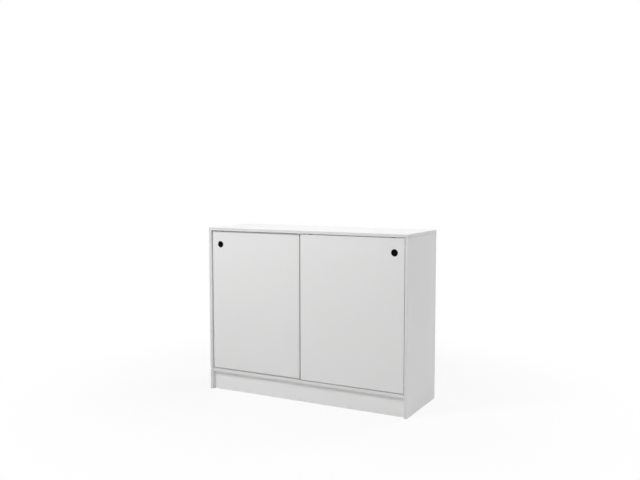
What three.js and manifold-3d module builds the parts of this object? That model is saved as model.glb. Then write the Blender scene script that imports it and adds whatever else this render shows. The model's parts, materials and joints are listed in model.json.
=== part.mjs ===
// Sliding door cabinet: a white board carcass of two bays, closed by two thin doors that pass
// one another on rollers. Millimetres, z up, the front faces -y, and the floor is z = 0.
// Inside the cabinet group y is the depth behind the front plane.

import * as THREE from 'three';
import { mergeVertices } from 'three/addons/utils/BufferGeometryUtils.js';
import Module from 'manifold-3d';

const wasm = await Module();
wasm.setup();

// Overall size
const WIDTH = 1200;
const DEPTH = 415;
const HEIGHT = 925;

// Boards and how they meet
const BOARD = 16;
const EASED_EDGE = 0.5;
const SEAT_GAP = 0.3;
const CUT_OVERRUN = 5;
const PLINTH_HEIGHT = 106;
const KICK_RECESS = 20;
const PARTITION_RECESS = 22;

// Back sheets in their grooves
const BACK_THICKNESS = 3;
const BACK_TONGUE = 5;
const BACK_INSET = 10;

// Doors
const DOOR_THICKNESS = 8;
const DOOR_RUNNING_GAP = 2;
const DOOR_RECESS = 1;
const DOOR_BOTTOM_GAP = 3;
const DOOR_TOP_GAP = 2.8;
const DOOR_SIDE_GAP = 2;
const DOOR_OVERLAP = 27.6;

// Black strip on the free edge of each door
const STRIP_LIP = 2.9;
const STRIP_TONGUE = 4;
const STRIP_TONGUE_THICKNESS = 1.2;
const STRIP_FACE_INSET = 0.2;
const STRIP_ROUNDING = 1;

// Finger pull
const PULL_INSET = 54.5;
const PULL_DROP = 74.2;
const PULL_RIM_RADIUS = 17.8;
const PULL_MOUTH_RADIUS = 13.5;
const PULL_BODY_RADIUS = 15.2;
const PULL_PROUD = 1;
const PULL_RIM_ROUNDING = 0.6;
const PULL_LIP_ROUNDING = 1.4;
const PULL_FLOOR = 1.2;
const PULL_BACK_INSET = 0.3;
const PULL_FILLET = 3.5;
const PULL_DRAFT = 0.5;
const PULL_SEGMENTS = 40;

// Rollers in the lower edge of a door
const ROLLER_INSET = 62;
const WHEEL_RADIUS = 9;
const WHEEL_WIDTH = 2.2;
const WHEEL_CHAMFER = 0.4;
const WHEEL_RIM = 1.6;
const WHEEL_HUB_RADIUS = 2.8;
const WHEEL_WEB_INSET = 0.4;
const WHEEL_SIDE_GAP = 0.3;
const WHEEL_SEGMENTS = 20;
const AXLE_RADIUS = 1;
const AXLE_END_INSET = 0.2;
const AXLE_CHAMFER = 0.2;
const CASING_LENGTH = 34;
const CASING_HEIGHT = 22;
const CASING_THICKNESS = 5.2;
const CASING_CORNER = 7;
const POCKET_GAP = 0.8;

// Guides in the upper edge of a door
const GUIDE_LENGTH = 30;
const GUIDE_HEIGHT = 16;
const GUIDE_CORNER = 5;
const FIN_LENGTH = 24;
const FIN_THICKNESS = 2.2;
const FIN_REACH = 4;
const FIN_NOSE = 3;

// Tracks
const TRACK_WALL = 1.5;
const GROOVE_SIDE_GAP = 0.5;
const LOWER_GROOVE_DEPTH = 2;
const LOWER_TRACK_FLOOR = 1.7;
const UPPER_GROOVE_DEPTH = 8;
const UPPER_TRACK_FLOOR = 1.5;

// Stop for the rear door, and the pads that both doors close against
const PULL_SHOWING = 5.9;
const STOP_LENGTH = 20;
const STOP_STEM_HEIGHT = 6.5;
const STOP_FLANGE_THICKNESS = 1.2;
const STOP_FLANGE_WIDTH = 5.6;
const STOP_FLANGE_EASE = 0.3;
const PAD_HEIGHT = 14;
const PAD_END_INSET = 45;
const PAD_EASE = 0.3;
const PAD_SETBACK = 0.5;

// Shelves and the pins that hold them
const SHELF_FRONT_RECESS = 30;
const SHELF_END_GAP = 1.6;
const SHELF_BACK_GAP = 2;
const PIN_HOLE_RADIUS = 2.5;
const PIN_HOLE_DEPTH = 8;
const PIN_PITCH = 32;
const PIN_ROW_START = 440;
const PIN_ROW_INSET = 60;
const PINS_IN_ROW = 5;
const PIN_IN_USE = 2;
const PIN_SHANK_RADIUS = 2.25;
const PIN_SHANK_LENGTH = 7.4;
const PIN_COLLAR_RADIUS = 4.5;
const PIN_COLLAR_THICKNESS = 1;
const PIN_PEG_RADIUS = 3.2;
const PIN_PEG_LENGTH = 8.5;
const PIN_PEG_FLAT = 2.4;
const PIN_PEG_NOSE = 0.8;
const PIN_SEGMENTS = 10;

// Cam fittings that hold the top down
const CAM_RADIUS = 7.2;
const CAM_DEPTH = 12.2;
const CAM_DROP = 24;
const CAM_ROW_INSET = 34;
const CAM_DRIVE_LENGTH = 6.4;
const CAM_DRIVE_WIDTH = 1.4;
const CAM_DRIVE_DEPTH = 2;
const CAM_CHAMFER = 0.4;
const CAM_SEGMENTS = 24;
const BOLT_HEAD_RADIUS = 3;
const BOLT_HEAD_LENGTH = 2.6;
const BOLT_NECK_RADIUS = 1.9;
const BOLT_SHAFT_RADIUS = 3.4;
const BOLT_THREAD_RADIUS = 2.9;
const BOLT_THREAD_LENGTH = 10;
const BOLT_TIP_CHAMFER = 1;
const BOLT_CLEARANCE = 0.4;
const BOLT_SEGMENTS = 12;

// Places worked out from the sizes above
const INNER_X = WIDTH / 2 - BOARD;
const BASE_TOP = PLINTH_HEIGHT + BOARD;
const ROOF = HEIGHT - BOARD;
const DOOR_BOTTOM = BASE_TOP + DOOR_BOTTOM_GAP;
const DOOR_HEIGHT = ROOF - DOOR_TOP_GAP - DOOR_BOTTOM;
const DOOR_WIDTH = INNER_X - DOOR_SIDE_GAP + DOOR_OVERLAP / 2 - STRIP_LIP - SEAT_GAP;
const REAR_DOOR_RECESS = DOOR_RECESS + DOOR_THICKNESS + DOOR_RUNNING_GAP;
const GEAR_DEPTH = DOOR_THICKNESS - CASING_THICKNESS / 2;
const GROOVE_WIDTH = WHEEL_WIDTH + 2 * GROOVE_SIDE_GAP;
const GROOVE_DEPTHS = [DOOR_RECESS + GEAR_DEPTH, REAR_DOOR_RECESS + GEAR_DEPTH];
const TRACK_FRONT = GROOVE_DEPTHS[0] - GROOVE_WIDTH / 2 - TRACK_WALL;
const TRACK_BACK = GROOVE_DEPTHS[1] + GROOVE_WIDTH / 2 + TRACK_WALL;
const LOWER_TRACK_HEIGHT = LOWER_GROOVE_DEPTH + LOWER_TRACK_FLOOR;
const UPPER_TRACK_HEIGHT = UPPER_GROOVE_DEPTH + UPPER_TRACK_FLOOR;
const BACK_GROOVE_DEPTH = BACK_TONGUE + SEAT_GAP;
const BACK_PLANE = DEPTH - BACK_INSET - BACK_THICKNESS - SEAT_GAP;
const CAM_ROWS = [PARTITION_RECESS + CAM_ROW_INSET, DEPTH - PARTITION_RECESS - CAM_ROW_INSET];
const PIN_ROWS = [PIN_ROW_INSET, BACK_PLANE - PIN_ROW_INSET];
const PIN_HEIGHT = PIN_ROW_START + PIN_IN_USE * PIN_PITCH;
const CARCASS_SPAN = [SEAT_GAP - INNER_X, INNER_X - SEAT_GAP];

// The rear door stops where its pull still shows beside the front door
const REAR_PULL_EDGE = DOOR_SIDE_GAP - INNER_X + PULL_INSET + PULL_RIM_RADIUS;
const REAR_DOOR_TRAVEL = -DOOR_OVERLAP / 2 - REAR_PULL_EDGE - PULL_SHOWING;

const SIDES = { left: -1, right: 1 };
const X_AXIS = new THREE.Vector3(1, 0, 0);
const Y_AXIS = new THREE.Vector3(0, 1, 0);
const Z_AXIS = new THREE.Vector3(0, 0, 1);

// Materials

function finish(color, roughness, metalness = 0) {
  return () => new THREE.MeshStandardMaterial({ color, roughness, metalness });
}

const whiteBoard = finish('#f1f1f0', 0.45);
const whiteSheet = finish('#ecebe8', 0.6);
const whitePlastic = finish('#e9e9e6', 0.4);
const blackPlastic = finish('#0d0d0e', 0.38);
const softBlack = finish('#161617', 0.7);
const nylon = finish('#e2ded2', 0.45);
const greyPlastic = finish('#4a4b4d', 0.5);
const paleRubber = finish('#dcdcd8', 0.8);
const steel = finish('#b4b7ba', 0.32, 1);
const zinc = finish('#a7aaae', 0.42, 1);

// Solids from three.js geometry, and back

function toSolid(geometry) {
  geometry.deleteAttribute('normal');
  geometry.deleteAttribute('uv');
  const merged = mergeVertices(geometry);
  return new wasm.Manifold(new wasm.Mesh({
    numProp: 3,
    vertProperties: merged.attributes.position.array,
    triVerts: new Uint32Array(merged.index.array),
  }));
}

function toGeometry(solid) {
  const mesh = solid.getMesh();
  const geometry = new THREE.BufferGeometry();
  geometry.setAttribute('position', new THREE.BufferAttribute(mesh.vertProperties, 3));
  geometry.setIndex(new THREE.BufferAttribute(mesh.triVerts, 1));
  const flat = geometry.toNonIndexed();
  flat.computeVertexNormals();
  return flat;
}

function carve(solid, cuts) {
  return cuts.reduce((body, cut) => body.subtract(cut), solid);
}

// A box given by its ranges along x, y and z
function box([x0, x1], [y0, y1], [z0, z1]) {
  const geometry = new THREE.BoxGeometry(x1 - x0, y1 - y0, z1 - z0);
  return toSolid(geometry.translate((x0 + x1) / 2, (y0 + y1) / 2, (z0 + z1) / 2));
}

// Two places in rising order, whichever side of the cabinet they are on
function ordered(a, b) {
  return [Math.min(a, b), Math.max(a, b)];
}

// The range of a given width about a middle
function about(middle, width) {
  return [middle - width / 2, middle + width / 2];
}

function shapeOf(points) {
  return new THREE.Shape(points.map(([x, y]) => new THREE.Vector2(x, y)));
}

// A board given by its ranges along x, y and z, with all its edges eased
function board([x0, x1], [y0, y1], [z0, z1], ease = EASED_EDGE) {
  const [w, d] = [(x1 - x0) / 2 - ease, (y1 - y0) / 2 - ease];
  const outline = shapeOf([
    [w - ease, -d], [w, ease - d], [w, d - ease], [w - ease, d],
    [ease - w, d], [-w, d - ease], [-w, ease - d], [ease - w, -d],
  ]);
  const geometry = new THREE.ExtrudeGeometry(outline, {
    depth: z1 - z0 - 2 * ease,
    bevelEnabled: true,
    bevelSize: ease,
    bevelThickness: ease,
    bevelSegments: 1,
  });
  return toSolid(geometry.translate((x0 + x1) / 2, (y0 + y1) / 2, z0 + ease));
}

// An outline drawn in y and z, pushed along x from x0 to x1
function alongX(outline, [x0, x1]) {
  const geometry = new THREE.ExtrudeGeometry(outline, { depth: x1 - x0, bevelEnabled: false });
  geometry.applyMatrix4(new THREE.Matrix4().makeBasis(Y_AXIS, Z_AXIS, X_AXIS));
  return toSolid(geometry.translate(x0, 0, 0));
}

// An outline drawn in x and z, pushed along y from y0 to y1
function alongY(outline, [y0, y1], curveSegments = 6) {
  const settings = { depth: y1 - y0, bevelEnabled: false, curveSegments };
  const geometry = new THREE.ExtrudeGeometry(outline, settings);
  const backwards = Y_AXIS.clone().negate();
  geometry.applyMatrix4(new THREE.Matrix4().makeBasis(X_AXIS, Z_AXIS, backwards));
  return toSolid(geometry.translate(0, y1, 0));
}

// A round profile of [radius, height] points, turned about y
function turned(profile, segments) {
  const points = profile.map(([radius, height]) => new THREE.Vector2(radius, height));
  return toSolid(new THREE.LatheGeometry(points, segments));
}

// A plain round bar or bore along y
function rod(radius, [y0, y1], segments) {
  return turned([[0, y0], [radius, y0], [radius, y1], [0, y1]], segments);
}

function tippedToZ(solid) {
  return solid.rotate([90, 0, 0]);
}

function tippedToX(solid) {
  return solid.rotate([0, 0, -90]);
}

// Names a solid drawn in the frame of its group; the mesh's own origin is the middle of its box
function piece(name, solid, material) {
  const geometry = toGeometry(solid);
  geometry.computeBoundingBox();
  const middle = geometry.boundingBox.getCenter(new THREE.Vector3());
  geometry.translate(-middle.x, -middle.y, -middle.z);
  const mesh = new THREE.Mesh(geometry, material());
  mesh.name = name;
  mesh.position.copy(middle);
  return mesh;
}

// Names a solid drawn about its own working centre, and puts that centre at a place in its group
function placed(name, solid, material, [x, y, z]) {
  const mesh = new THREE.Mesh(toGeometry(solid), material());
  mesh.name = name;
  mesh.position.set(x, y, z);
  return mesh;
}

// Carcass

// One row of shelf pin holes, bored along x from a face towards a depth
function pinHoles(x, reach) {
  const bore = tippedToX(rod(PIN_HOLE_RADIUS, ordered(0, reach), PIN_SEGMENTS));
  return PIN_ROWS.flatMap((depth) => Array.from({ length: PINS_IN_ROW }, (_, step) => (
    bore.translate([x, depth, PIN_ROW_START + step * PIN_PITCH])
  )));
}

// The groove for the edges of the back sheets, as a range of depths
function backGroove() {
  return [BACK_PLANE - SEAT_GAP, BACK_PLANE + BACK_THICKNESS + SEAT_GAP];
}

function sidePanel(side) {
  const inner = side * INNER_X;
  const outward = (distance) => inner + side * distance;
  const camBore = tippedToX(rod(CAM_RADIUS + SEAT_GAP, [-CUT_OVERRUN, CAM_DEPTH + SEAT_GAP], CAM_SEGMENTS));
  const boltBore = tippedToZ(rod(BOLT_SHAFT_RADIUS + SEAT_GAP, [0, CAM_DROP + CUT_OVERRUN], BOLT_SEGMENTS));
  const seats = CAM_ROWS.flatMap((depth) => [
    (side > 0 ? camBore : camBore.mirror([1, 0, 0])).translate([inner, depth, ROOF - CAM_DROP]),
    boltBore.translate([outward(BOARD / 2), depth, ROOF - CAM_DROP]),
  ]);
  return carve(board(ordered(inner, outward(BOARD)), [0, DEPTH], [0, ROOF - SEAT_GAP]), [
    box(ordered(outward(-CUT_OVERRUN), outward(BACK_GROOVE_DEPTH)), backGroove(), [-CUT_OVERRUN, HEIGHT]),
    ...pinHoles(outward(-CUT_OVERRUN), side * (PIN_HOLE_DEPTH + CUT_OVERRUN)),
    ...seats,
  ]);
}

function topPanel() {
  const grooveX = [-INNER_X - BACK_GROOVE_DEPTH, INNER_X + BACK_GROOVE_DEPTH];
  const threadBore = tippedToZ(rod(BOLT_THREAD_RADIUS + SEAT_GAP,
    [-CUT_OVERRUN, BOLT_THREAD_LENGTH + BOLT_CLEARANCE], BOLT_SEGMENTS));
  const bores = Object.values(SIDES).flatMap((side) => CAM_ROWS.map((depth) => (
    threadBore.translate([side * (INNER_X + BOARD / 2), depth, ROOF])
  )));
  return carve(board([-WIDTH / 2, WIDTH / 2], [0, DEPTH], [ROOF, HEIGHT]), [
    box([-INNER_X, INNER_X], [TRACK_FRONT - SEAT_GAP, TRACK_BACK + SEAT_GAP],
      [ROOF - CUT_OVERRUN, ROOF + UPPER_TRACK_HEIGHT + SEAT_GAP]),
    box(grooveX, backGroove(), [ROOF - CUT_OVERRUN, ROOF + BACK_GROOVE_DEPTH]),
    ...bores,
  ]);
}

function basePanel() {
  const endToEnd = [-WIDTH / 2, WIDTH / 2];
  return carve(board(CARCASS_SPAN, [0, DEPTH], [PLINTH_HEIGHT, BASE_TOP]), [
    box(endToEnd, [TRACK_FRONT - SEAT_GAP, TRACK_BACK + SEAT_GAP],
      [BASE_TOP - LOWER_TRACK_HEIGHT - SEAT_GAP, BASE_TOP + CUT_OVERRUN]),
    box(endToEnd, backGroove(), [BASE_TOP - BACK_GROOVE_DEPTH, BASE_TOP + CUT_OVERRUN]),
  ]);
}

function centrePartition() {
  const face = BOARD / 2;
  const height = [BASE_TOP + SEAT_GAP, ROOF - SEAT_GAP];
  return carve(board([-face, face], [PARTITION_RECESS, DEPTH], height), [
    box([face - BACK_GROOVE_DEPTH, BOARD], backGroove(), [0, HEIGHT]),
    box([-BOARD, BACK_GROOVE_DEPTH - face], backGroove(), [0, HEIGHT]),
    ...pinHoles(-BOARD, 2 * BOARD),
  ]);
}

function kickBoard(front) {
  return board(CARCASS_SPAN, [front, front + BOARD], [0, PLINTH_HEIGHT - SEAT_GAP]);
}

function backSheet(side) {
  const edges = [side * (BOARD / 2 - BACK_TONGUE), side * (INNER_X + BACK_TONGUE)];
  const depths = [BACK_PLANE, BACK_PLANE + BACK_THICKNESS];
  return box(ordered(...edges), depths, [BASE_TOP - BACK_TONGUE, ROOF + BACK_TONGUE]);
}

function shelf(side) {
  const edges = [side * (BOARD / 2 + SHELF_END_GAP), side * (INNER_X - SHELF_END_GAP)];
  const bottom = PIN_HEIGHT + PIN_PEG_FLAT + SEAT_GAP;
  const depths = [SHELF_FRONT_RECESS, BACK_PLANE - SHELF_BACK_GAP];
  return board(ordered(...edges), depths, [bottom, bottom + BOARD]);
}

// A turned shelf pin along y: its shank goes in a hole, its collar lies on the board, and its peg
// has a flat for the shelf
function shelfPin() {
  const collar = PIN_COLLAR_THICKNESS + SEAT_GAP;
  const peg = collar + PIN_PEG_LENGTH;
  const body = turned([
    [0, -PIN_SHANK_LENGTH], [PIN_SHANK_RADIUS - PIN_PEG_NOSE, -PIN_SHANK_LENGTH],
    [PIN_SHANK_RADIUS, PIN_PEG_NOSE - PIN_SHANK_LENGTH], [PIN_SHANK_RADIUS, SEAT_GAP],
    [PIN_COLLAR_RADIUS, SEAT_GAP], [PIN_COLLAR_RADIUS, collar], [PIN_PEG_RADIUS, collar],
    [PIN_PEG_RADIUS, peg - PIN_PEG_NOSE], [PIN_PEG_RADIUS - PIN_PEG_NOSE, peg], [0, peg],
  ], PIN_SEGMENTS);
  const wide = about(0, 2 * PIN_COLLAR_RADIUS);
  return body.subtract(box(wide, [collar, peg + CUT_OVERRUN], [PIN_PEG_FLAT, PIN_COLLAR_RADIUS]));
}

// Four pins for one shelf: a front and a rear one on the side panel and on the partition
function shelfPins(name, side) {
  const faces = { outer: [side * INNER_X, -side], inner: [side * BOARD / 2, side] };
  return Object.entries(faces).flatMap(([place, [x, facing]]) => (
    ['front', 'rear'].map((row, index) => {
      const seat = [x, PIN_ROWS[index], PIN_HEIGHT];
      const mesh = placed(`${name}_shelf_pin_${row}_${place}`, shelfPin(), steel, seat);
      mesh.rotation.z = -facing * Math.PI / 2;
      return mesh;
    })
  ));
}

// Tracks, stop and pads

// A strip with two grooves, drawn with its open side up; flipped, it is the upper track
function trackOutline(height, grooveDepth) {
  const mouth = GROOVE_DEPTHS.flatMap((depth) => {
    const [front, back] = about(depth, GROOVE_WIDTH);
    return [[front, 0], [front, -grooveDepth], [back, -grooveDepth], [back, 0]];
  });
  const back = [[TRACK_BACK, -height], [TRACK_BACK, 0]];
  const front = [[TRACK_FRONT, 0], [TRACK_FRONT, -height]];
  return [...back, ...mouth.reverse(), ...front];
}

function lowerTrack() {
  const outline = trackOutline(LOWER_TRACK_HEIGHT, LOWER_GROOVE_DEPTH);
  return alongX(shapeOf(outline), CARCASS_SPAN).translate([0, 0, BASE_TOP]);
}

function upperTrack() {
  const outline = trackOutline(UPPER_TRACK_HEIGHT, UPPER_GROOVE_DEPTH).map(([y, z]) => [y, -z]);
  return alongX(shapeOf(outline.reverse()), CARCASS_SPAN).translate([0, 0, ROOF]);
}

// A T-shaped stop: its stem fills the rear groove of the upper track where the guide ends its run
function rearDoorStop() {
  const guideEnd = DOOR_SIDE_GAP - INNER_X + DOOR_WIDTH - ROLLER_INSET + FIN_LENGTH / 2;
  const start = guideEnd + REAR_DOOR_TRAVEL + SEAT_GAP;
  const length = [start, start + STOP_LENGTH];
  const flangeTop = ROOF - SEAT_GAP;
  const flangeBottom = flangeTop - STOP_FLANGE_THICKNESS;
  const stemDepths = about(GROOVE_DEPTHS[1], GROOVE_WIDTH - 2 * SEAT_GAP);
  const stem = box(length, stemDepths, [flangeBottom, ROOF + STOP_STEM_HEIGHT]);
  const flangeDepths = about(GROOVE_DEPTHS[1], STOP_FLANGE_WIDTH);
  const flange = board(length, flangeDepths, [flangeBottom, flangeTop], STOP_FLANGE_EASE);
  return stem.add(flange);
}

function closingPad(side, middle) {
  const thickness = DOOR_SIDE_GAP - 2 * SEAT_GAP;
  const wall = side * (INNER_X - SEAT_GAP);
  const depths = [DOOR_RECESS + PAD_SETBACK, REAR_DOOR_RECESS + DOOR_THICKNESS - PAD_SETBACK];
  return board(ordered(wall, wall - side * thickness), depths, about(middle, PAD_HEIGHT), PAD_EASE);
}

// Cam fittings

// A round cam along y, its drive in the face at y = 0, with a chamber that holds the head of its bolt
function cam() {
  const body = turned([
    [0, 0], [CAM_RADIUS - CAM_CHAMFER, 0], [CAM_RADIUS, CAM_CHAMFER],
    [CAM_RADIUS, CAM_DEPTH - CAM_CHAMFER], [CAM_RADIUS - CAM_CHAMFER, CAM_DEPTH], [0, CAM_DEPTH],
  ], CAM_SEGMENTS);
  const drive = [-CUT_OVERRUN, CAM_DRIVE_DEPTH];
  const head = BOLT_HEAD_RADIUS + BOLT_CLEARANCE;
  const neck = BOLT_NECK_RADIUS + BOLT_CLEARANCE;
  const headRoom = [-BOLT_CLEARANCE, BOLT_HEAD_LENGTH + BOLT_CLEARANCE];
  return carve(body, [
    box(about(0, CAM_DRIVE_LENGTH), drive, about(0, CAM_DRIVE_WIDTH)),
    box(about(0, CAM_DRIVE_WIDTH), drive, about(0, CAM_DRIVE_LENGTH)),
    box(about(0, 2 * head), about(BOARD / 2, 2 * head), headRoom),
    box(about(0, 2 * neck), about(BOARD / 2, 2 * neck), [0, CAM_RADIUS + CUT_OVERRUN]),
  ]);
}

// The bolt along z, its head in the cam at z = 0 and its thread in the top panel
function camBolt() {
  const neckEnd = CAM_RADIUS + SEAT_GAP + BOLT_CLEARANCE;
  const tip = CAM_DROP + BOLT_THREAD_LENGTH;
  return tippedToZ(turned([
    [0, 0], [BOLT_HEAD_RADIUS, 0], [BOLT_HEAD_RADIUS, BOLT_HEAD_LENGTH],
    [BOLT_NECK_RADIUS, BOLT_HEAD_LENGTH], [BOLT_NECK_RADIUS, neckEnd],
    [BOLT_SHAFT_RADIUS, neckEnd], [BOLT_SHAFT_RADIUS, CAM_DROP - SEAT_GAP],
    [BOLT_THREAD_RADIUS, CAM_DROP], [BOLT_THREAD_RADIUS, tip - BOLT_TIP_CHAMFER],
    [BOLT_THREAD_RADIUS - BOLT_TIP_CHAMFER, tip], [0, tip],
  ], BOLT_SEGMENTS));
}

function camFittings(name, side) {
  return ['front', 'rear'].flatMap((row, index) => {
    const height = ROOF - CAM_DROP;
    const disc = placed(`${name}_top_cam_${row}`, cam(), zinc, [side * INNER_X, CAM_ROWS[index], height]);
    disc.rotation.z = -side * Math.PI / 2;
    const axis = [side * (INNER_X + BOARD / 2), CAM_ROWS[index], height];
    return [disc, placed(`${name}_top_bolt_${row}`, camBolt(), steel, axis)];
  });
}

// Doors, drawn in a group whose origin is the outer lower front corner of the door

// Where the two rollers and the two guides stand, as distances from the outer edge
const GEAR_PLACES = { outer: ROLLER_INSET, inner: DOOR_WIDTH - ROLLER_INSET };

// A block outline in x and z with its two upper corners rounded
function gearOutline(length, height, corner) {
  const half = length / 2;
  const outline = new THREE.Shape();
  outline.moveTo(-half, 0);
  outline.lineTo(half, 0);
  outline.lineTo(half, height - corner);
  outline.absarc(half - corner, height - corner, corner, 0, Math.PI / 2, false);
  outline.lineTo(corner - half, height);
  outline.absarc(corner - half, height - corner, corner, Math.PI / 2, Math.PI, false);
  outline.closePath();
  return outline;
}

function rollerSeat() {
  const outline = gearOutline(CASING_LENGTH + 2 * SEAT_GAP, CASING_HEIGHT + SEAT_GAP + CUT_OVERRUN,
    CASING_CORNER + SEAT_GAP);
  const depths = [DOOR_THICKNESS - CASING_THICKNESS - SEAT_GAP, DOOR_THICKNESS + CUT_OVERRUN];
  return alongY(outline, depths).translate([0, 0, -CUT_OVERRUN]);
}

function guideSeat() {
  const outline = gearOutline(GUIDE_LENGTH + 2 * SEAT_GAP, GUIDE_HEIGHT + SEAT_GAP + CUT_OVERRUN,
    GUIDE_CORNER + SEAT_GAP);
  const depths = [DOOR_THICKNESS - CASING_THICKNESS - SEAT_GAP, DOOR_THICKNESS + CUT_OVERRUN];
  return alongY(outline, depths).rotate([0, 180, 0]).translate([0, 0, DOOR_HEIGHT + CUT_OVERRUN]);
}

function doorPanel(side) {
  const inward = (distance) => -side * distance;
  const throughDoor = [-CUT_OVERRUN, DOOR_THICKNESS + CUT_OVERRUN];
  const pullBore = rod(PULL_BODY_RADIUS + SEAT_GAP, throughDoor, PULL_SEGMENTS);
  const kerfLength = ordered(inward(DOOR_WIDTH - STRIP_TONGUE - SEAT_GAP), inward(DOOR_WIDTH + CUT_OVERRUN));
  const kerfDepths = about(DOOR_THICKNESS / 2, STRIP_TONGUE_THICKNESS + 2 * SEAT_GAP);
  const places = Object.values(GEAR_PLACES);
  return carve(board(ordered(0, inward(DOOR_WIDTH)), [0, DOOR_THICKNESS], [0, DOOR_HEIGHT]), [
    pullBore.translate([inward(PULL_INSET), 0, DOOR_HEIGHT - PULL_DROP]),
    box(kerfLength, kerfDepths, [-CUT_OVERRUN, DOOR_HEIGHT + CUT_OVERRUN]),
    ...places.map((place) => rollerSeat().translate([inward(place), 0, 0])),
    ...places.map((place) => guideSeat().translate([inward(place), 0, 0])),
  ]);
}

// The black strip: a rounded lip with a tongue that sits in the kerf of the panel
function edgeStrip(side) {
  const half = DOOR_THICKNESS / 2 - STRIP_FACE_INSET;
  const tongue = STRIP_TONGUE_THICKNESS / 2;
  const root = DOOR_WIDTH + SEAT_GAP;
  const tip = root + STRIP_LIP;
  const outline = new THREE.Shape();
  outline.moveTo(root, -half);
  outline.lineTo(tip - STRIP_ROUNDING, -half);
  outline.absarc(tip - STRIP_ROUNDING, STRIP_ROUNDING - half, STRIP_ROUNDING, -Math.PI / 2, 0, false);
  outline.absarc(tip - STRIP_ROUNDING, half - STRIP_ROUNDING, STRIP_ROUNDING, 0, Math.PI / 2, false);
  outline.lineTo(root, half);
  outline.lineTo(root, tongue);
  outline.lineTo(DOOR_WIDTH - STRIP_TONGUE, tongue);
  outline.lineTo(DOOR_WIDTH - STRIP_TONGUE, -tongue);
  outline.lineTo(root, -tongue);
  outline.closePath();
  const settings = { depth: DOOR_HEIGHT, bevelEnabled: false, curveSegments: 4 };
  const geometry = new THREE.ExtrudeGeometry(outline, settings);
  const solid = toSolid(geometry).translate([0, DOOR_THICKNESS / 2, 0]);
  return side > 0 ? solid.mirror([1, 0, 0]) : solid;
}

// The points of a quarter round from one angle to another, as [radius, height] pairs
function arc(centre, radius, from, to, steps) {
  return Array.from({ length: steps + 1 }, (_, step) => {
    const angle = from + (to - from) * step / steps;
    return [centre[0] + radius * Math.cos(angle), centre[1] + radius * Math.sin(angle)];
  });
}

// The finger pull: a round dish with a filleted floor, a rolled lip and a thin flange on the door's face
function fingerPull() {
  const floor = DOOR_THICKNESS - PULL_BACK_INSET - PULL_FLOOR;
  const back = DOOR_THICKNESS - PULL_BACK_INSET;
  const right = Math.PI / 2;
  const wall = PULL_MOUTH_RADIUS - PULL_DRAFT;
  const lipMiddle = [PULL_MOUTH_RADIUS + PULL_LIP_ROUNDING, PULL_LIP_ROUNDING - PULL_PROUD];
  const rimMiddle = [PULL_RIM_RADIUS - PULL_RIM_ROUNDING, PULL_RIM_ROUNDING - PULL_PROUD];
  return turned([
    [0, floor],
    ...arc([wall - PULL_FILLET, floor - PULL_FILLET], PULL_FILLET, right, 0, 4),
    ...arc(lipMiddle, PULL_LIP_ROUNDING, 2 * right, 3 * right, 3),
    ...arc(rimMiddle, PULL_RIM_ROUNDING, -right, 0, 2),
    [PULL_RIM_RADIUS, -SEAT_GAP], [PULL_BODY_RADIUS, -SEAT_GAP], [PULL_BODY_RADIUS, back], [0, back],
  ], PULL_SEGMENTS);
}

// The nylon casing of a roller, drawn with its wheel's axis at y = 0 and the door's lower edge at z = 0
function rollerCasing() {
  const axis = wheelHeight();
  const thickness = about(0, CASING_THICKNESS);
  const pocket = about(0, WHEEL_WIDTH + 2 * WHEEL_SIDE_GAP);
  return carve(alongY(gearOutline(CASING_LENGTH, CASING_HEIGHT, CASING_CORNER), thickness), [
    rod(WHEEL_RADIUS + POCKET_GAP, pocket, WHEEL_SEGMENTS).translate([0, 0, axis]),
    rod(AXLE_RADIUS + SEAT_GAP, [-CASING_THICKNESS, CASING_THICKNESS], PIN_SEGMENTS).translate([0, 0, axis]),
  ]);
}

// Height of the wheel's axis above the lower edge of the door
function wheelHeight() {
  return WHEEL_RADIUS + SEAT_GAP - LOWER_GROOVE_DEPTH - DOOR_BOTTOM_GAP;
}

function rollerWheel() {
  const [face, web] = [WHEEL_WIDTH / 2, WHEEL_WIDTH / 2 - WHEEL_WEB_INSET];
  const rim = WHEEL_RADIUS - WHEEL_RIM;
  const half = [
    [WHEEL_RADIUS, face - WHEEL_CHAMFER], [WHEEL_RADIUS - WHEEL_CHAMFER, face], [rim, face],
    [rim - WHEEL_WEB_INSET, web], [WHEEL_HUB_RADIUS + WHEEL_WEB_INSET, web], [WHEEL_HUB_RADIUS, face],
    [AXLE_RADIUS + SEAT_GAP, face],
  ];
  const lower = half.map(([radius, height]) => [radius, -height]).reverse();
  return turned([...lower, ...half, lower[0]], WHEEL_SEGMENTS);
}

function rollerAxle() {
  const end = CASING_THICKNESS / 2 - AXLE_END_INSET;
  return turned([
    [0, -end], [AXLE_RADIUS - AXLE_CHAMFER, -end], [AXLE_RADIUS, AXLE_CHAMFER - end],
    [AXLE_RADIUS, end - AXLE_CHAMFER], [AXLE_RADIUS - AXLE_CHAMFER, end], [0, end],
  ], PIN_SEGMENTS);
}

// The guide: a block in the door's upper edge with a fin that runs in the upper track, its nose tapered
function topGuide() {
  const block = alongY(gearOutline(GUIDE_LENGTH, GUIDE_HEIGHT, GUIDE_CORNER), about(0, CASING_THICKNESS));
  const half = FIN_LENGTH / 2;
  const rise = DOOR_TOP_GAP + FIN_REACH;
  const fin = shapeOf([
    [-half, -GUIDE_HEIGHT / 2], [half, -GUIDE_HEIGHT / 2], [half, rise - FIN_NOSE],
    [half - FIN_NOSE, rise], [FIN_NOSE - half, rise], [-half, rise - FIN_NOSE],
  ]);
  return block.rotate([0, 180, 0]).add(alongY(fin, about(0, FIN_THICKNESS)));
}

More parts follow.
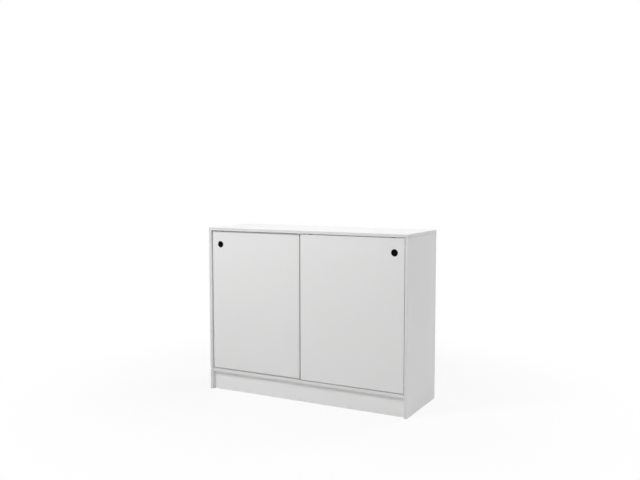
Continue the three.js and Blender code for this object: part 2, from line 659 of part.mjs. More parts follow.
function roller(name, x) {
  const axis = [x, GEAR_DEPTH, wheelHeight()];
  return [
    placed(`${name}_roller_casing`, rollerCasing(), nylon, [x, GEAR_DEPTH, 0]),
    placed(`${name}_roller_wheel`, rollerWheel(), nylon, axis),
    placed(`${name}_roller_axle`, rollerAxle(), steel, axis),
  ];
}

function door(name, side, recess) {
  const group = new THREE.Group();
  group.name = `${name}_door`;
  group.position.set(side * (INNER_X - DOOR_SIDE_GAP), recess, DOOR_BOTTOM);
  group.add(piece(`${name}_door_panel`, doorPanel(side), whiteBoard));
  group.add(piece(`${name}_door_edge_strip`, edgeStrip(side), softBlack));
  const pullPlace = [-side * PULL_INSET, 0, DOOR_HEIGHT - PULL_DROP];
  group.add(placed(`${name}_finger_pull`, fingerPull(), blackPlastic, pullPlace));
  for (const [place, distance] of Object.entries(GEAR_PLACES)) {
    const x = -side * distance;
    group.add(...roller(`${name}_${place}`, x));
    group.add(placed(`${name}_${place}_top_guide`, topGuide(), greyPlastic, [x, GEAR_DEPTH, DOOR_HEIGHT]));
  }
  return group;
}

// The whole cabinet

function carcass() {
  const group = new THREE.Group();
  group.name = 'carcass';
  group.add(piece('top_panel', topPanel(), whiteBoard));
  group.add(piece('base_panel', basePanel(), whiteBoard));
  group.add(piece('centre_partition', centrePartition(), whiteBoard));
  group.add(piece('front_kick_board', kickBoard(KICK_RECESS), whiteBoard));
  group.add(piece('rear_kick_board', kickBoard(DEPTH - KICK_RECESS - BOARD), whiteBoard));
  group.add(piece('lower_track', lowerTrack(), whitePlastic));
  group.add(piece('upper_track', upperTrack(), whitePlastic));
  group.add(piece('rear_door_stop', rearDoorStop(), greyPlastic));
  for (const [name, side] of Object.entries(SIDES)) {
    group.add(piece(`${name}_side_panel`, sidePanel(side), whiteBoard));
    group.add(piece(`${name}_back_sheet`, backSheet(side), whiteSheet));
    group.add(piece(`${name}_shelf`, shelf(side), whiteBoard));
    group.add(...shelfPins(name, side));
    group.add(...camFittings(name, side));
    const lowPad = DOOR_BOTTOM + PAD_END_INSET;
    const highPad = DOOR_BOTTOM + DOOR_HEIGHT - PAD_END_INSET;
    group.add(piece(`${name}_lower_closing_pad`, closingPad(side, lowPad), paleRubber));
    group.add(piece(`${name}_upper_closing_pad`, closingPad(side, highPad), paleRubber));
  }
  return group;
}

function cabinet() {
  const group = new THREE.Group();
  group.name = 'sliding_door_cabinet';
  group.position.y = -DEPTH / 2;
  group.add(carcass());
  group.add(door('left', SIDES.left, REAR_DOOR_RECESS));
  group.add(door('right', SIDES.right, DOOR_RECESS));
  const root = new THREE.Group();
  root.add(group);
  return root;
}

export default cabinet();
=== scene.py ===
"""Looks of the white sliding door cabinet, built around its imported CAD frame.

The boards, tracks, roller casings and fittings come from the frame and keep their shape. This script
gives every one of them its finish, and models what needs more faces: the finger pulls, the soft strips
where the doors meet, the roller wheels, and the screws that hold the running gear and the tracks.
"""

import json
import logging
import math
import random
from dataclasses import dataclass, field
from enum import Enum
from typing import Any, NamedTuple

import bmesh
import bpy
from bmesh.types import BMesh, BMVert
from bpy.types import Material, Node, NodeSocket, NodeTree, Object
from mathutils import Euler, Matrix, Vector

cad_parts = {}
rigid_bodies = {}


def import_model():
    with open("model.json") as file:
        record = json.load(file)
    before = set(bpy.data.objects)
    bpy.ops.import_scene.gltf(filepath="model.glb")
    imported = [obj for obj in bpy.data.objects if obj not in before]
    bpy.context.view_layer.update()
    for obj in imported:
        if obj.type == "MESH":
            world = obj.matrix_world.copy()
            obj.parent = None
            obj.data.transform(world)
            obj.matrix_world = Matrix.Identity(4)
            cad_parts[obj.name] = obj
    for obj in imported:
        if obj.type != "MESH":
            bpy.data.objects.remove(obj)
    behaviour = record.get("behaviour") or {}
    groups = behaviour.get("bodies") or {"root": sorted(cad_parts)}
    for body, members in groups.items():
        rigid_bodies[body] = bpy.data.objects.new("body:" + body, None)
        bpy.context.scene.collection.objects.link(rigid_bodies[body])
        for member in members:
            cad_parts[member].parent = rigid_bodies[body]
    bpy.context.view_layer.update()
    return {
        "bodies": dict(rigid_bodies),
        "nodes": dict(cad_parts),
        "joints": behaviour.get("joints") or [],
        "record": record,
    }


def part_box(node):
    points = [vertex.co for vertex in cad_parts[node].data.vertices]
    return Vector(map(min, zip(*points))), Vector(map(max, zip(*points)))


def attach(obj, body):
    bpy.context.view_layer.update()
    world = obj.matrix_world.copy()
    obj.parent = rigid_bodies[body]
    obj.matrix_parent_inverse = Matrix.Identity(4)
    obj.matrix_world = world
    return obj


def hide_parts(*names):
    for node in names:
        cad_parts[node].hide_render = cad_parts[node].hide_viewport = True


Triple = tuple[float, float, float]
LOG = logging.getLogger("cabinet")
CHANCE_SEED = 925
MM = 0.001
MERGE_REACH = 0.001 * MM
NOISE_ROUGHNESS = 0.55
FINE_DETAIL = 3.0
DRAWN_OUT = 0.004
EVEN = (1.0, 1.0, 1.0)
WHITE = (1.0, 1.0, 1.0, 1.0)
SIDES = ("left", "right")
PLACES = ("outer", "inner")
ROWS = ("front", "rear")


class Axis(Enum):
    """A direction along one of the cabinet's own axes."""

    X = Vector((1.0, 0.0, 0.0))
    Y = Vector((0.0, 1.0, 0.0))
    Z = Vector((0.0, 0.0, 1.0))


class Facing(Enum):
    """The way that a screw head faces, as its turn from facing front."""

    REAR = Matrix.Rotation(math.pi, 4, "Z")
    UP = Matrix.Rotation(-math.pi / 2, 4, "X")
    DOWN = Matrix.Rotation(math.pi / 2, 4, "X")


TRACKS = {"lower_track": Facing.UP, "upper_track": Facing.DOWN}


@dataclass(frozen=True)
class Tone:
    """A colour in linear light."""

    red: float
    green: float
    blue: float

    def rgba(self) -> tuple[float, float, float, float]:
        """The colour with full cover, as sockets take it."""
        return (self.red, self.green, self.blue, 1.0)

    def scaled(self, share: float) -> "Tone":
        """The same hue, lighter or darker."""
        return Tone(self.red * share, self.green * share, self.blue * share)


class Signal:
    """A number that changes over a surface, held as a socket, with the usual operators."""

    def __init__(self, graph: "Graph", socket: NodeSocket) -> None:
        """Keeps the node graph and the socket that carries the number."""
        self.graph = graph
        self.socket = socket

    def _math(self, operation: str, *values: Any) -> "Signal":
        """Adds one Math node over numbers and signals."""
        return self.graph.value("ShaderNodeMath", {"operation": operation}, *values)

    def __add__(self, other: "Signal | float") -> "Signal":
        """Sum."""
        return self._math("ADD", self, other)

    def __radd__(self, other: "Signal | float") -> "Signal":
        """Sum, the number first."""
        return self._math("ADD", other, self)

    def __sub__(self, other: "Signal | float") -> "Signal":
        """Difference."""
        return self._math("SUBTRACT", self, other)

    def __rsub__(self, other: "Signal | float") -> "Signal":
        """Difference, the number first."""
        return self._math("SUBTRACT", other, self)

    def __mul__(self, other: "Signal | float") -> "Signal":
        """Product."""
        return self._math("MULTIPLY", self, other)

    def __rmul__(self, other: "Signal | float") -> "Signal":
        """Product, the number first."""
        return self._math("MULTIPLY", other, self)

    def __lt__(self, other: "Signal | float") -> "Signal":
        """One where this is less."""
        return self._math("LESS_THAN", self, other)

    def __gt__(self, other: "Signal | float") -> "Signal":
        """One where this is more."""
        return self._math("GREATER_THAN", self, other)

    def __abs__(self) -> "Signal":
        """Size without sign."""
        return self._math("ABSOLUTE", self)

    def clamped(self) -> "Signal":
        """Held between nothing and one."""
        return self._math("MINIMUM", self._math("MAXIMUM", self, 0.0), 1.0)

    def share(self) -> "Signal":
        """Noise about nothing, as a share from nothing to one."""
        return (0.5 + 0.5 * self).clamped()

    def fade(self, low: float, high: float) -> "Signal":
        """A soft step from nothing at low to one at high."""
        settings = {"interpolation_type": "SMOOTHSTEP"}
        return self.graph.value("ShaderNodeMapRange", settings, self, low, high, 0.0, 1.0)


class Graph:
    """A node tree, with one way to add a node and fill its sockets."""

    def __init__(self, tree: NodeTree) -> None:
        """Empties a tree and keeps it.

        Args:
            tree: The tree of a material or of a world.
        """
        self.tree = tree
        self.tree.nodes.clear()

    def node(self, kind: str, settings: dict[str, Any] | None = None, *values: Any) -> Node:
        """Adds a node.

        Args:
            kind: The node's type name.
            settings: Properties that are set before the sockets are filled.
            values: What goes into the sockets that are in use, in their order; None leaves one alone.

        Returns:
            The new node.
        """
        made = self.tree.nodes.new(kind)
        for name, value in (settings or {}).items():
            setattr(made, name, value)
        sockets = [socket for socket in made.inputs if socket.enabled]
        for socket, value in zip(sockets, values):
            self.feed(socket, value)
        return made

    def feed(self, socket: NodeSocket, value: Any) -> None:
        """Links or sets one socket.

        Args:
            socket: The socket.
            value: A signal or a socket to link, a plain value to set, or None to leave it alone.
        """
        if isinstance(value, Signal):
            self.tree.links.new(value.socket, socket)
        elif isinstance(value, NodeSocket):
            self.tree.links.new(value, socket)
        elif value is not None:
            socket.default_value = value

    def value(self, kind: str, settings: dict[str, Any], *values: Any) -> Signal:
        """Adds a node and takes its first live output as a number."""
        made = self.node(kind, settings, *values)
        return Signal(self, next(socket for socket in made.outputs if socket.enabled))

    def seen_rays(self) -> Signal:
        """One for rays that show a surround to the eye: straight, in gloss or through glass.

        Returns:
            The mask.
        """
        path = self.node("ShaderNodeLightPath")
        camera, gloss, through = (Signal(self, path.outputs[name])
                                  for name in ("Is Camera Ray", "Is Glossy Ray", "Is Transmission Ray"))
        return (camera + gloss + through).clamped()


class SurfaceGraph(Graph):
    """The node tree of one material, with a Principled shader to finish on."""

    def __init__(self, name: str) -> None:
        """Starts a material of that name.

        Args:
            name: The material's name.
        """
        self.material = bpy.data.materials.new(name)
        self.material.use_nodes = True
        super().__init__(self.material.node_tree)
        self.shader = self.node("ShaderNodeBsdfPrincipled")
        self.output = self.node("ShaderNodeOutputMaterial", {}, self.shader.outputs["BSDF"])
        self.place = self.node("ShaderNodeTexCoord").outputs["Object"]
        axes = self.node("ShaderNodeSeparateXYZ", {}, self.place)
        self.x, self.y, self.z = (Signal(self, socket) for socket in axes.outputs)

    def stretched(self, scale: Triple) -> NodeSocket:
        """The place on the piece, stretched along its axes."""
        return self.node("ShaderNodeVectorMath", {"operation": "MULTIPLY"}, self.place, scale).outputs[0]

    def facing(self) -> tuple[Signal, ...]:
        """The normal in the piece's own axes.

        Returns:
            One number for each axis.
        """
        settings = {"vector_type": "NORMAL", "convert_from": "WORLD", "convert_to": "OBJECT"}
        normal = self.node("ShaderNodeNewGeometry").outputs["True Normal"]
        own = self.node("ShaderNodeVectorTransform", settings, normal).outputs[0]
        return tuple(Signal(self, socket) for socket in self.node("ShaderNodeSeparateXYZ", {}, own).outputs)

    def noise(self, size: float, detail: float = 2.0, scale: Triple = EVEN) -> Signal:
        """Noise about nothing, from minus one to one.

        Args:
            size: The size of a blot, in metres.
            detail: Octaves of finer noise.
            scale: Stretch of the place along each axis.

        Returns:
            The noise.
        """
        place = self.stretched(scale)
        return self.value("ShaderNodeTexNoise", {}, place, 1.0 / size, detail, NOISE_ROUGHNESS) * 2.0 - 1.0

    def blend(self, share: Any, first: Any, second: Any) -> NodeSocket:
        """Mixes two colours by a share of the second."""
        mixed = self.node("ShaderNodeMix", {"data_type": "RGBA"}, share, first, second)
        return next(socket for socket in mixed.outputs if socket.enabled)

    def clouded(self, share: Signal, tone: Tone, darkest: float) -> NodeSocket:
        """A tone, darkened to a part of itself where the share is nothing."""
        return self.blend(share, tone.scaled(darkest).rgba(), tone.rgba())

    def bump(self, height: Signal, depth: float) -> NodeSocket:
        """Relief of a depth in metres."""
        return self.node("ShaderNodeBump", {}, 1.0, depth, None, height).outputs["Normal"]

    def dress(self, **sockets: Any) -> Material:
        """Fills the shader's sockets.

        Args:
            sockets: Values or links by the socket's name, an underscore standing for a space.

        Returns:
            The material.
        """
        for name, value in sockets.items():
            self.feed(self.shader.inputs[name.replace("_", " ")], value)
        return self.material


class Edge(Enum):
    """An edge of a board, as its axis and the end of that axis."""

    LEFT = (0, -1)
    RIGHT = (0, 1)
    FRONT = (1, -1)
    REAR = (1, 1)
    FOOT = (2, -1)
    HEAD = (2, 1)


@dataclass(frozen=True)
class Wear:
    """Traces of use on a board: skin that hands polish round a pull, and scuffs that shoes leave."""

    hands_at: tuple[float, float] | None = None
    hands_reach: float = 60 * MM
    hands_polish: float = 0.09
    hands_blot: float = 8 * MM
    hands_drift: float = 0.3
    shoes_reach: float = 0.0
    shoes_mark: float = 0.07
    scuff_size: float = 26 * MM
    scuff_stretch: Triple = (0.35, 1.0, 4.0)
    scuff_onset: tuple[float, float] = (0.1, 0.7)

    def polish(self, graph: SurfaceGraph) -> Signal:
        """How much smoother hands have made the skin, less towards the reach.

        Args:
            graph: The board's graph.

        Returns:
            What to take from the roughness.
        """
        across, up = self.hands_at
        aside, above = graph.x - across, graph.z - up
        near = 1.0 - (aside * aside + above * above).fade(0.0, self.hands_reach * self.hands_reach)
        drift = 1.0 - self.hands_drift + self.hands_drift * graph.noise(self.hands_blot)
        return near * drift * self.hands_polish

    def scuffs(self, graph: SurfaceGraph) -> Signal:
        """Faint level streaks near the floor.

        Args:
            graph: The board's graph.

        Returns:
            The share of dark scuff.
        """
        low = 1.0 - graph.z.fade(0.0, self.shoes_reach)
        streaks = graph.noise(self.scuff_size, FINE_DETAIL, self.scuff_stretch).fade(*self.scuff_onset)
        return low * streaks * self.shoes_mark


@dataclass(frozen=True)
class Finish:
    """What every finish has: a name, and a material that it builds."""

    name: str

    def make(self) -> Material:
        """Builds the material, each finish in its own way."""
        raise NotImplementedError


@dataclass(frozen=True)
class BoardFinish(Finish):
    """White melamine faced chipboard: a hard satin skin with a fine pearl grain.

    The banded edges carry a plastic band, greyer than the faces, and the glue line behind it shows as a
    hair line on the faces beside it. Along a joint with another board, dust and painted shade for the
    joint's shadow line darken the colour. Bored holes and bare edges show the chipboard.
    """

    face: Tone
    band: Tone
    low: Triple
    high: Triple
    banded: tuple[Edge, ...]
    jointed: tuple[Edge, ...]
    wear: Wear
    thin: int
    joint_reach: float = 0.75 * MM
    joint_shade: float = 0.62
    joint_tone: float = 0.22
    beside_facing: float = 0.5
    chip: Tone = Tone(0.36, 0.245, 0.13)
    chip_light: Tone = Tone(0.56, 0.43, 0.27)
    chip_size: float = 2.2 * MM
    chip_stretch: Triple = (1.0, 1.0, 1.6)
    chip_contrast: float = 1.3
    chip_relief: float = 12.0
    chip_dullness: float = 0.4
    band_thickness: float = 0.8 * MM
    band_facing: float = 0.69
    band_polish: float = 0.08
    glue_line: float = 0.1 * MM
    glue_shade: float = 0.45
    glue_tone: float = 0.55
    bore_inset: float = 6 * MM
    bore_facing: float = 0.6
    raw_facing: float = 0.9
    grain: float = 0.9 * MM
    grain_depth: float = 0.014 * MM
    peel: float = 6 * MM
    peel_depth: float = 0.012 * MM
    cloud: float = 220 * MM
    cloud_tone: float = 0.99
    cloud_dullness: float = 0.03
    drift: float = 9 * MM
    drift_stretch: Triple = (1.0, 1.0, 0.3)
    drift_dullness: float = 0.02
    scuff_tone: float = 0.2
    roughness: float = 0.44

    def plane(self, edge: Edge) -> float:
        """Where an edge lies along its axis."""
        axis, sign = edge.value
        return (self.high if sign > 0 else self.low)[axis]

    def make(self) -> Material:
        """Builds the material.

        Returns:
            The material.
        """
        graph = SurfaceGraph(self.name)
        places = (graph.x, graph.y, graph.z)
        facings = graph.facing()
        cloud = graph.noise(self.cloud, FINE_DETAIL)
        colour = graph.clouded(cloud.share(), self.face, self.cloud_tone)
        drift = graph.noise(self.drift, scale=self.drift_stretch)
        rough = self.roughness + self.cloud_dullness * cloud + self.drift_dullness * drift
        if self.wear.hands_at:
            rough = rough - self.wear.polish(graph)
        if self.wear.shoes_reach:
            scuffs = self.wear.scuffs(graph)
            colour = graph.blend(scuffs, colour, self.face.scaled(self.scuff_tone).rgba())
            rough = rough + scuffs
        for edge in self.banded:
            axis, sign = edge.value
            banded = sign * facings[axis] > self.band_facing
            colour = graph.blend(banded, colour, self.band.rgba())
            rough = rough - self.band_polish * banded
            seam = abs(places[axis] - (self.plane(edge) - sign * self.band_thickness)) < self.glue_line
            colour = graph.blend(self.glue_shade * seam, colour, self.band.scaled(self.glue_tone).rgba())
        # Painted shade along each joint: the colour is pulled towards a dark band tone, partly dust and
        # partly the shadow line where the boards meet.
        for edge in self.jointed:
            axis = edge.value[0]
            beside = abs(facings[axis]) < self.beside_facing
            shade = beside * (abs(places[axis] - self.plane(edge)) < self.joint_reach)
            colour = graph.blend(self.joint_shade * shade, colour, self.band.scaled(self.joint_tone).rgba())
        bare = self.bare(places, facings)
        chips = graph.stretched(self.chip_stretch)
        flecks = graph.value("ShaderNodeTexVoronoi", {}, chips, 1.0 / self.chip_size)
        core = graph.blend((flecks * self.chip_contrast).clamped(), self.chip.rgba(), self.chip_light.rgba())
        colour = graph.blend(bare, colour, core)
        peel = (self.peel_depth / self.grain_depth) * graph.noise(self.peel, detail=1.0)
        relief = graph.noise(self.grain) + peel + self.chip_relief * bare * flecks
        return graph.dress(Base_Color=colour, Roughness=rough + self.chip_dullness * bare,
                           Normal=graph.bump(relief, self.grain_depth))

    def bare(self, places: tuple[Signal, ...], facings: tuple[Signal, ...]) -> Signal:
        """One where the core shows: in bored holes, and on thin edges without a band.

        Args:
            places: Place along each axis.
            facings: The normal along each axis.

        Returns:
            The mask.
        """
        raw = abs(facings[self.thin]) < self.bore_facing
        for axis in range(3):
            if axis != self.thin:
                raw = raw * (places[axis] > self.low[axis] + self.bore_inset)
                raw = raw * (places[axis] < self.high[axis] - self.bore_inset)
        for edge in Edge:
            axis, sign = edge.value
            if axis != self.thin and edge not in self.banded:
                near = abs(places[axis] - self.plane(edge)) < self.band_thickness / 2
                raw = raw + near * (sign * facings[axis] > self.raw_facing)
        return raw.clamped()


@dataclass(frozen=True)
class SheetFinish(Finish):
    """Lacquered hardboard: smooth inside, with the print of the press mesh on the rear."""

    face: Tone
    mesh_pitch: float = 1.6 * MM
    mesh_depth: float = 0.05 * MM
    rear_facing: float = 0.7
    fibre: float = 3 * MM
    fibre_stretch: Triple = (1.0, 1.0, 0.35)
    fibre_relief: float = 0.2
    fibre_dullness: float = 0.05
    cloud: float = 90 * MM
    cloud_tone: float = 0.98
    roughness: float = 0.6

    def make(self) -> Material:
        """Builds the material.

        Returns:
            The material.
        """
        graph = SurfaceGraph(self.name)
        rear = graph.facing()[1] > self.rear_facing
        turns = 2 * math.pi / self.mesh_pitch
        across, upright = (graph.value("ShaderNodeMath", {"operation": "SINE"}, place * turns)
                           for place in (graph.x, graph.z))
        fibre = graph.noise(self.fibre, FINE_DETAIL, self.fibre_stretch)
        colour = graph.clouded(graph.noise(self.cloud, FINE_DETAIL).share(), self.face, self.cloud_tone)
        relief = rear * across * upright + self.fibre_relief * fibre
        return graph.dress(Base_Color=colour, Roughness=self.roughness + self.fibre_dullness * fibre,
                           Normal=graph.bump(relief, self.mesh_depth))


@dataclass(frozen=True)
class MouldedFinish(Finish):
    """Moulded or extruded plastic: a fine spark grain, or draw lines where it came through a die."""

    body: Tone
    roughness: float = 0.4
    grain: float = 0.35 * MM
    grain_depth: float = 0.008 * MM
    grain_dullness: float = 0.03
    cloud: float = 14 * MM
    cloud_dullness: float = 0.05
    mottle: float = 0.06
    shine: float = 0.5
    stretch: Triple = EVEN

    def make(self) -> Material:
        """Builds the material.

        Returns:
            The material.
        """
        graph = SurfaceGraph(self.name)
        grain = graph.noise(self.grain, scale=self.stretch)
        cloud = graph.noise(self.cloud)
        dark, light = (self.body.scaled(1.0 + sign * self.mottle).rgba() for sign in (-1, 1))
        colour = graph.blend(cloud.share(), dark, light)
        rough = self.roughness + self.cloud_dullness * cloud + self.grain_dullness * grain
        return graph.dress(Base_Color=colour, Roughness=rough, Specular_IOR_Level=self.shine,
                           Normal=graph.bump(grain, self.grain_depth))


@dataclass(frozen=True)
class TrackFinish(Finish):
    """White extruded track: draw lines along it, and a polished line where the wheels and fins run."""

    body: Tone
    grooves: tuple[float, ...]
    level: float
    run: float = 1.1 * MM
    groove_start: float = 1.2 * MM
    draw: float = 0.5 * MM
    draw_depth: float = 0.006 * MM
    draw_dullness: float = 0.05
    cloud: float = 60 * MM
    cloud_tone: float = 0.97
    roughness: float = 0.36
    run_shade: float = 0.3
    run_tone: float = 0.3
    run_polish: float = 0.14
    run_drift: float = 0.25
    run_blot: float = 20 * MM
    run_stretch: Triple = (0.2, 1.0, 1.0)

    def make(self) -> Material:
        """Builds the material.

        Returns:
            The material.
        """
        graph = SurfaceGraph(self.name)
        lines = graph.noise(self.draw, scale=(DRAWN_OUT, 1.0, 1.0))
        colour = graph.clouded(graph.noise(self.cloud).share(), self.body, self.cloud_tone)
        rough = self.roughness + self.draw_dullness * lines
        sunk = abs(graph.z - self.level) > self.groove_start
        for groove in self.grooves:
            share = 1.0 - abs(graph.y - groove).fade(self.run / 2, self.run)
            drift = self.run_drift * graph.noise(self.run_blot, FINE_DETAIL, self.run_stretch)
            run = share * sunk * (1.0 - self.run_drift + drift)
            colour = graph.blend(self.run_shade * run, colour, self.body.scaled(self.run_tone).rgba())
            rough = rough - self.run_polish * run
        return graph.dress(Base_Color=colour, Roughness=rough, Normal=graph.bump(lines, self.draw_depth))


@dataclass(frozen=True)
class PlatedFinish(Finish):
    """Zinc: a plated steel pin or screw, or a cast cam with a coarser skin."""

    metal: Tone
    roughness: float
    skin: float
    skin_depth: float
    skin_dullness: float = 0.05
    stain: float = 5 * MM
    stain_tone: float = 0.86
    stain_dullness: float = 0.08

    def make(self) -> Material:
        """Builds the material.

        Returns:
            The material.
        """
        graph = SurfaceGraph(self.name)
        skin = graph.noise(self.skin, FINE_DETAIL)
        stain = graph.noise(self.stain).share()
        colour = graph.clouded(stain, self.metal, self.stain_tone)
        rough = self.roughness + self.stain_dullness * stain + self.skin_dullness * skin
        return graph.dress(Base_Color=colour, Metallic=1.0, Roughness=rough,
                           Normal=graph.bump(skin, self.skin_depth))


@dataclass(frozen=True)
class RubberFinish(Finish):
    """Soft rubber: dull, with a fine bloom and a rough skin."""

    body: Tone
    skin: float = 0.5 * MM
    skin_depth: float = 0.02 * MM
    skin_dullness: float = 0.06
    bloom: float = 6 * MM
    bloom_tone: float = 0.9
    roughness: float = 0.78

    def make(self) -> Material:
        """Builds the material.

        Returns:
            The material.
        """
        graph = SurfaceGraph(self.name)
        skin = graph.noise(self.skin, FINE_DETAIL)
        colour = graph.clouded(graph.noise(self.bloom).share(), self.body, self.bloom_tone)
        return graph.dress(Base_Color=colour, Roughness=self.roughness + self.skin_dullness * skin,
                           Normal=graph.bump(skin, self.skin_depth))


class Stock(Enum):
    """A finish that several pieces share, by the piece that it is bought for."""

    SHEET = SheetFinish("lacquered_hardboard", Tone(0.8, 0.795, 0.78))
    PULL = MouldedFinish("black_moulding", Tone(0.002, 0.002, 0.0021), roughness=0.46, shine=0.05)
    STRIP = MouldedFinish("black_soft_strip", Tone(0.005, 0.005, 0.005), roughness=0.62, shine=0.15,
                          stretch=(1.0, 1.0, DRAWN_OUT))
    ROLLER = MouldedFinish("natural_nylon", Tone(0.74, 0.71, 0.62), roughness=0.42, mottle=0.03)
    GUIDE = MouldedFinish("dark_grey_moulding", Tone(0.06, 0.06, 0.063), roughness=0.48)
    PIN = PlatedFinish("plated_steel", Tone(0.56, 0.57, 0.58), roughness=0.28, skin=0.6 * MM,
                       skin_depth=0.004 * MM)
    CAM = PlatedFinish("cast_zinc", Tone(0.45, 0.46, 0.47), roughness=0.42, skin=0.9 * MM,
                       skin_depth=0.02 * MM)
    PAD = RubberFinish("pale_rubber", Tone(0.74, 0.74, 0.73))


@dataclass
class Palette:
    """Every finish of the cabinet, made once and shared."""

    face: Tone = Tone(0.86, 0.86, 0.857)
    band: Tone = Tone(0.785, 0.785, 0.784)
    # Painted shade: the doors' edge bands are a darker grey so that the gaps beside the doors read darker.
    door_band: Tone = Tone(0.45, 0.45, 0.45)
    extrusion: Tone = Tone(0.79, 0.79, 0.785)
    made: dict[str, Material] = field(default_factory=dict)

    def board(self, node: str, banded: tuple[Edge, ...], jointed: tuple[Edge, ...] = (),
              wear: Wear = Wear(), painted_light_gain: float = 1.0, band: Tone | None = None) -> BoardFinish:
        """Melamine cut to one board.

        Args:
            node: The board's node, whose box gives the places of its edges.
            banded: The edges that carry a band.
            jointed: The edges along which it meets another board in view, darkened there with dust and
                painted shade.
            wear: Its traces of use.
            painted_light_gain: How much lighter its faces are painted than the others', for light that falls
                more strongly on it.
            band: The tone of its bands where it isn't the usual one.

        Returns:
            The board's finish.
        """
        low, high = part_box(node)
        spans = [top - foot for foot, top in zip(low, high)]
        return BoardFinish(f"melamine_{node}", self.face.scaled(painted_light_gain), band or self.band, tuple(low),
                           tuple(high), banded, jointed, wear, spans.index(min(spans)))

    def keep(self, choice: Finish | Stock) -> Material:
        """Makes a finish once, and gives the same material after that.

        Args:
            choice: The finish, or the stock that has it.

        Returns:
            Its material.
        """
        finish = choice.value if isinstance(choice, Stock) else choice
        if finish.name not in self.made:
            self.made[finish.name] = finish.make()
        return self.made[finish.name]

    def track(self, node: str, grooves: tuple[float, ...], level: float) -> TrackFinish:
        """White extruded track, whose grooves open at a level."""
        return TrackFinish(f"white_{node}", self.extrusion, grooves, level)


class Box(NamedTuple):
    """The box round a node."""

    low: Vector
    high: Vector
    middle: Vector


class Bench:
    """What the modelled pieces share: turning a profile, giving a piece its body and finish."""

    def __init__(self, frame: dict[str, Any], palette: Palette) -> None:
        """Keeps the frame's nodes and the finishes."""
        self.nodes = frame["nodes"]
        self.palette = palette

    def box(self, node: str) -> Box:
        """Lowest corner, highest corner and middle of a node."""
        low, high = (Vector(corner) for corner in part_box(node))
        return Box(low, high, (low + high) / 2)

    def dress(self, choice: Finish | Stock, *nodes: str) -> None:
        """Gives frame nodes their finish.

        Args:
            choice: The finish, or the stock that has it.
            nodes: The nodes' names.
        """
        material = self.palette.keep(choice)
        for name in nodes:
            node = self.nodes[name]
            node.data.materials.clear()
            node.data.materials.append(material)
            LOG.info("dressed %s in %s", name, material.name)

    def turned(self, profile: list[tuple[float, float]], steps: int) -> BMesh:
        """Turns a profile about the Y axis.

        Args:
            profile: Radius and place along the axis of each point, first and last on the axis or alike.
            steps: Sides of the finished round.

        Returns:
            A closed mesh with its faces outwards.
        """
        work = bmesh.new()
        closed = profile[0] == profile[-1]
        open_profile = profile[:-1] if closed else profile
        points = [work.verts.new((radius, along, 0.0)) for radius, along in open_profile]
        edges = [work.edges.new(pair) for pair in zip(points, points[1:])]
        if closed:
            edges.append(work.edges.new((points[-1], points[0])))
        bmesh.ops.spin(work, geom=points + edges, cent=(0, 0, 0), axis=Axis.Y.value, angle=2 * math.pi,
                       steps=steps, use_merge=True)
        bmesh.ops.remove_doubles(work, verts=work.verts, dist=MERGE_REACH)
        bmesh.ops.recalc_face_normals(work, faces=work.faces)
        return work

    def finish(self, name: str, work: BMesh, choice: Finish | Stock, body: str, slot: str,
               crease: float = 30.0) -> Object:
        """Turns a bmesh into a named piece that rides on a body.

        Args:
            name: The piece's name.
            work: The mesh, already in its place; it is freed.
            choice: Its finish, or the stock that has it.
            body: The body that carries it.
            slot: The record's material slot; not used.
            crease: Angle in degrees above which an edge stays sharp.

        Returns:
            The new object.
        """
        mesh = bpy.data.meshes.new(name)
        for face in work.faces:
            face.smooth = True
        for edge in work.edges:
            edge.smooth = edge.is_manifold and edge.calc_face_angle() < math.radians(crease)
        work.to_mesh(mesh)
        work.free()
        mesh.materials.append(self.palette.keep(choice))
        piece = bpy.data.objects.new(name, mesh)
        bpy.context.scene.collection.objects.link(piece)
        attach(piece, body)
        LOG.info("modelled %s on %s, %d faces", name, body, len(mesh.polygons))
        return piece


def quarter(centre: tuple[float, float], radius: float, start: float, end: float,
            steps: int) -> list[tuple[float, float]]:
    """Points of a round from one angle to another.

    Args:
        centre: Radius and place along the axis of the round's middle.
        radius: Its radius.
        start: First angle in degrees.
        end: Last angle in degrees.
        steps: How many chords it takes.

    Returns:
        The points, both ends among them.
    """
    angles = [math.radians(start + (end - start) * step / steps) for step in range(steps + 1)]
    return [(centre[0] + radius * math.cos(angle), centre[1] + radius * math.sin(angle)) for angle in angles]


@dataclass
class Carcass:
    """The boards, the back sheets and the closing pads."""

    bench: Bench

    def dress(self) -> None:
        """Finishes every piece of the carcass."""
        palette = self.bench.palette
        front_only = (Edge.FRONT,)
        both = (Edge.FRONT, Edge.REAR)
        ends = (Edge.LEFT, Edge.RIGHT)
        # Each board's second list holds its joints, darkened with dust and painted shade.
        boards = {
            "top_panel": (both + ends, (Edge.FOOT,)),
            "base_panel": (both, ends), "centre_partition": (both, ()),
            "left_side_panel": (both, (Edge.HEAD,)), "right_side_panel": (both, (Edge.HEAD,)),
            "left_shelf": (front_only, ()), "right_shelf": (front_only, ()),
            "rear_kick_board": ((Edge.FOOT,), ends),
        }
        for name, (banded, jointed) in boards.items():
            self.bench.dress(palette.board(name, banded, jointed), name)
        kicked = Wear(shoes_reach=self.bench.box("front_kick_board").high.z)
        # Painted light: the front kick board's faces are made lighter for the extra light it gets near the
        # floor.
        board = palette.board("front_kick_board", (Edge.FOOT,), ends, kicked, painted_light_gain=1.05)
        self.bench.dress(board, "front_kick_board")
        for side in SIDES:
            self.bench.dress(Stock.SHEET, f"{side}_back_sheet")
            self.bench.dress(Stock.PAD, f"{side}_lower_closing_pad", f"{side}_upper_closing_pad")


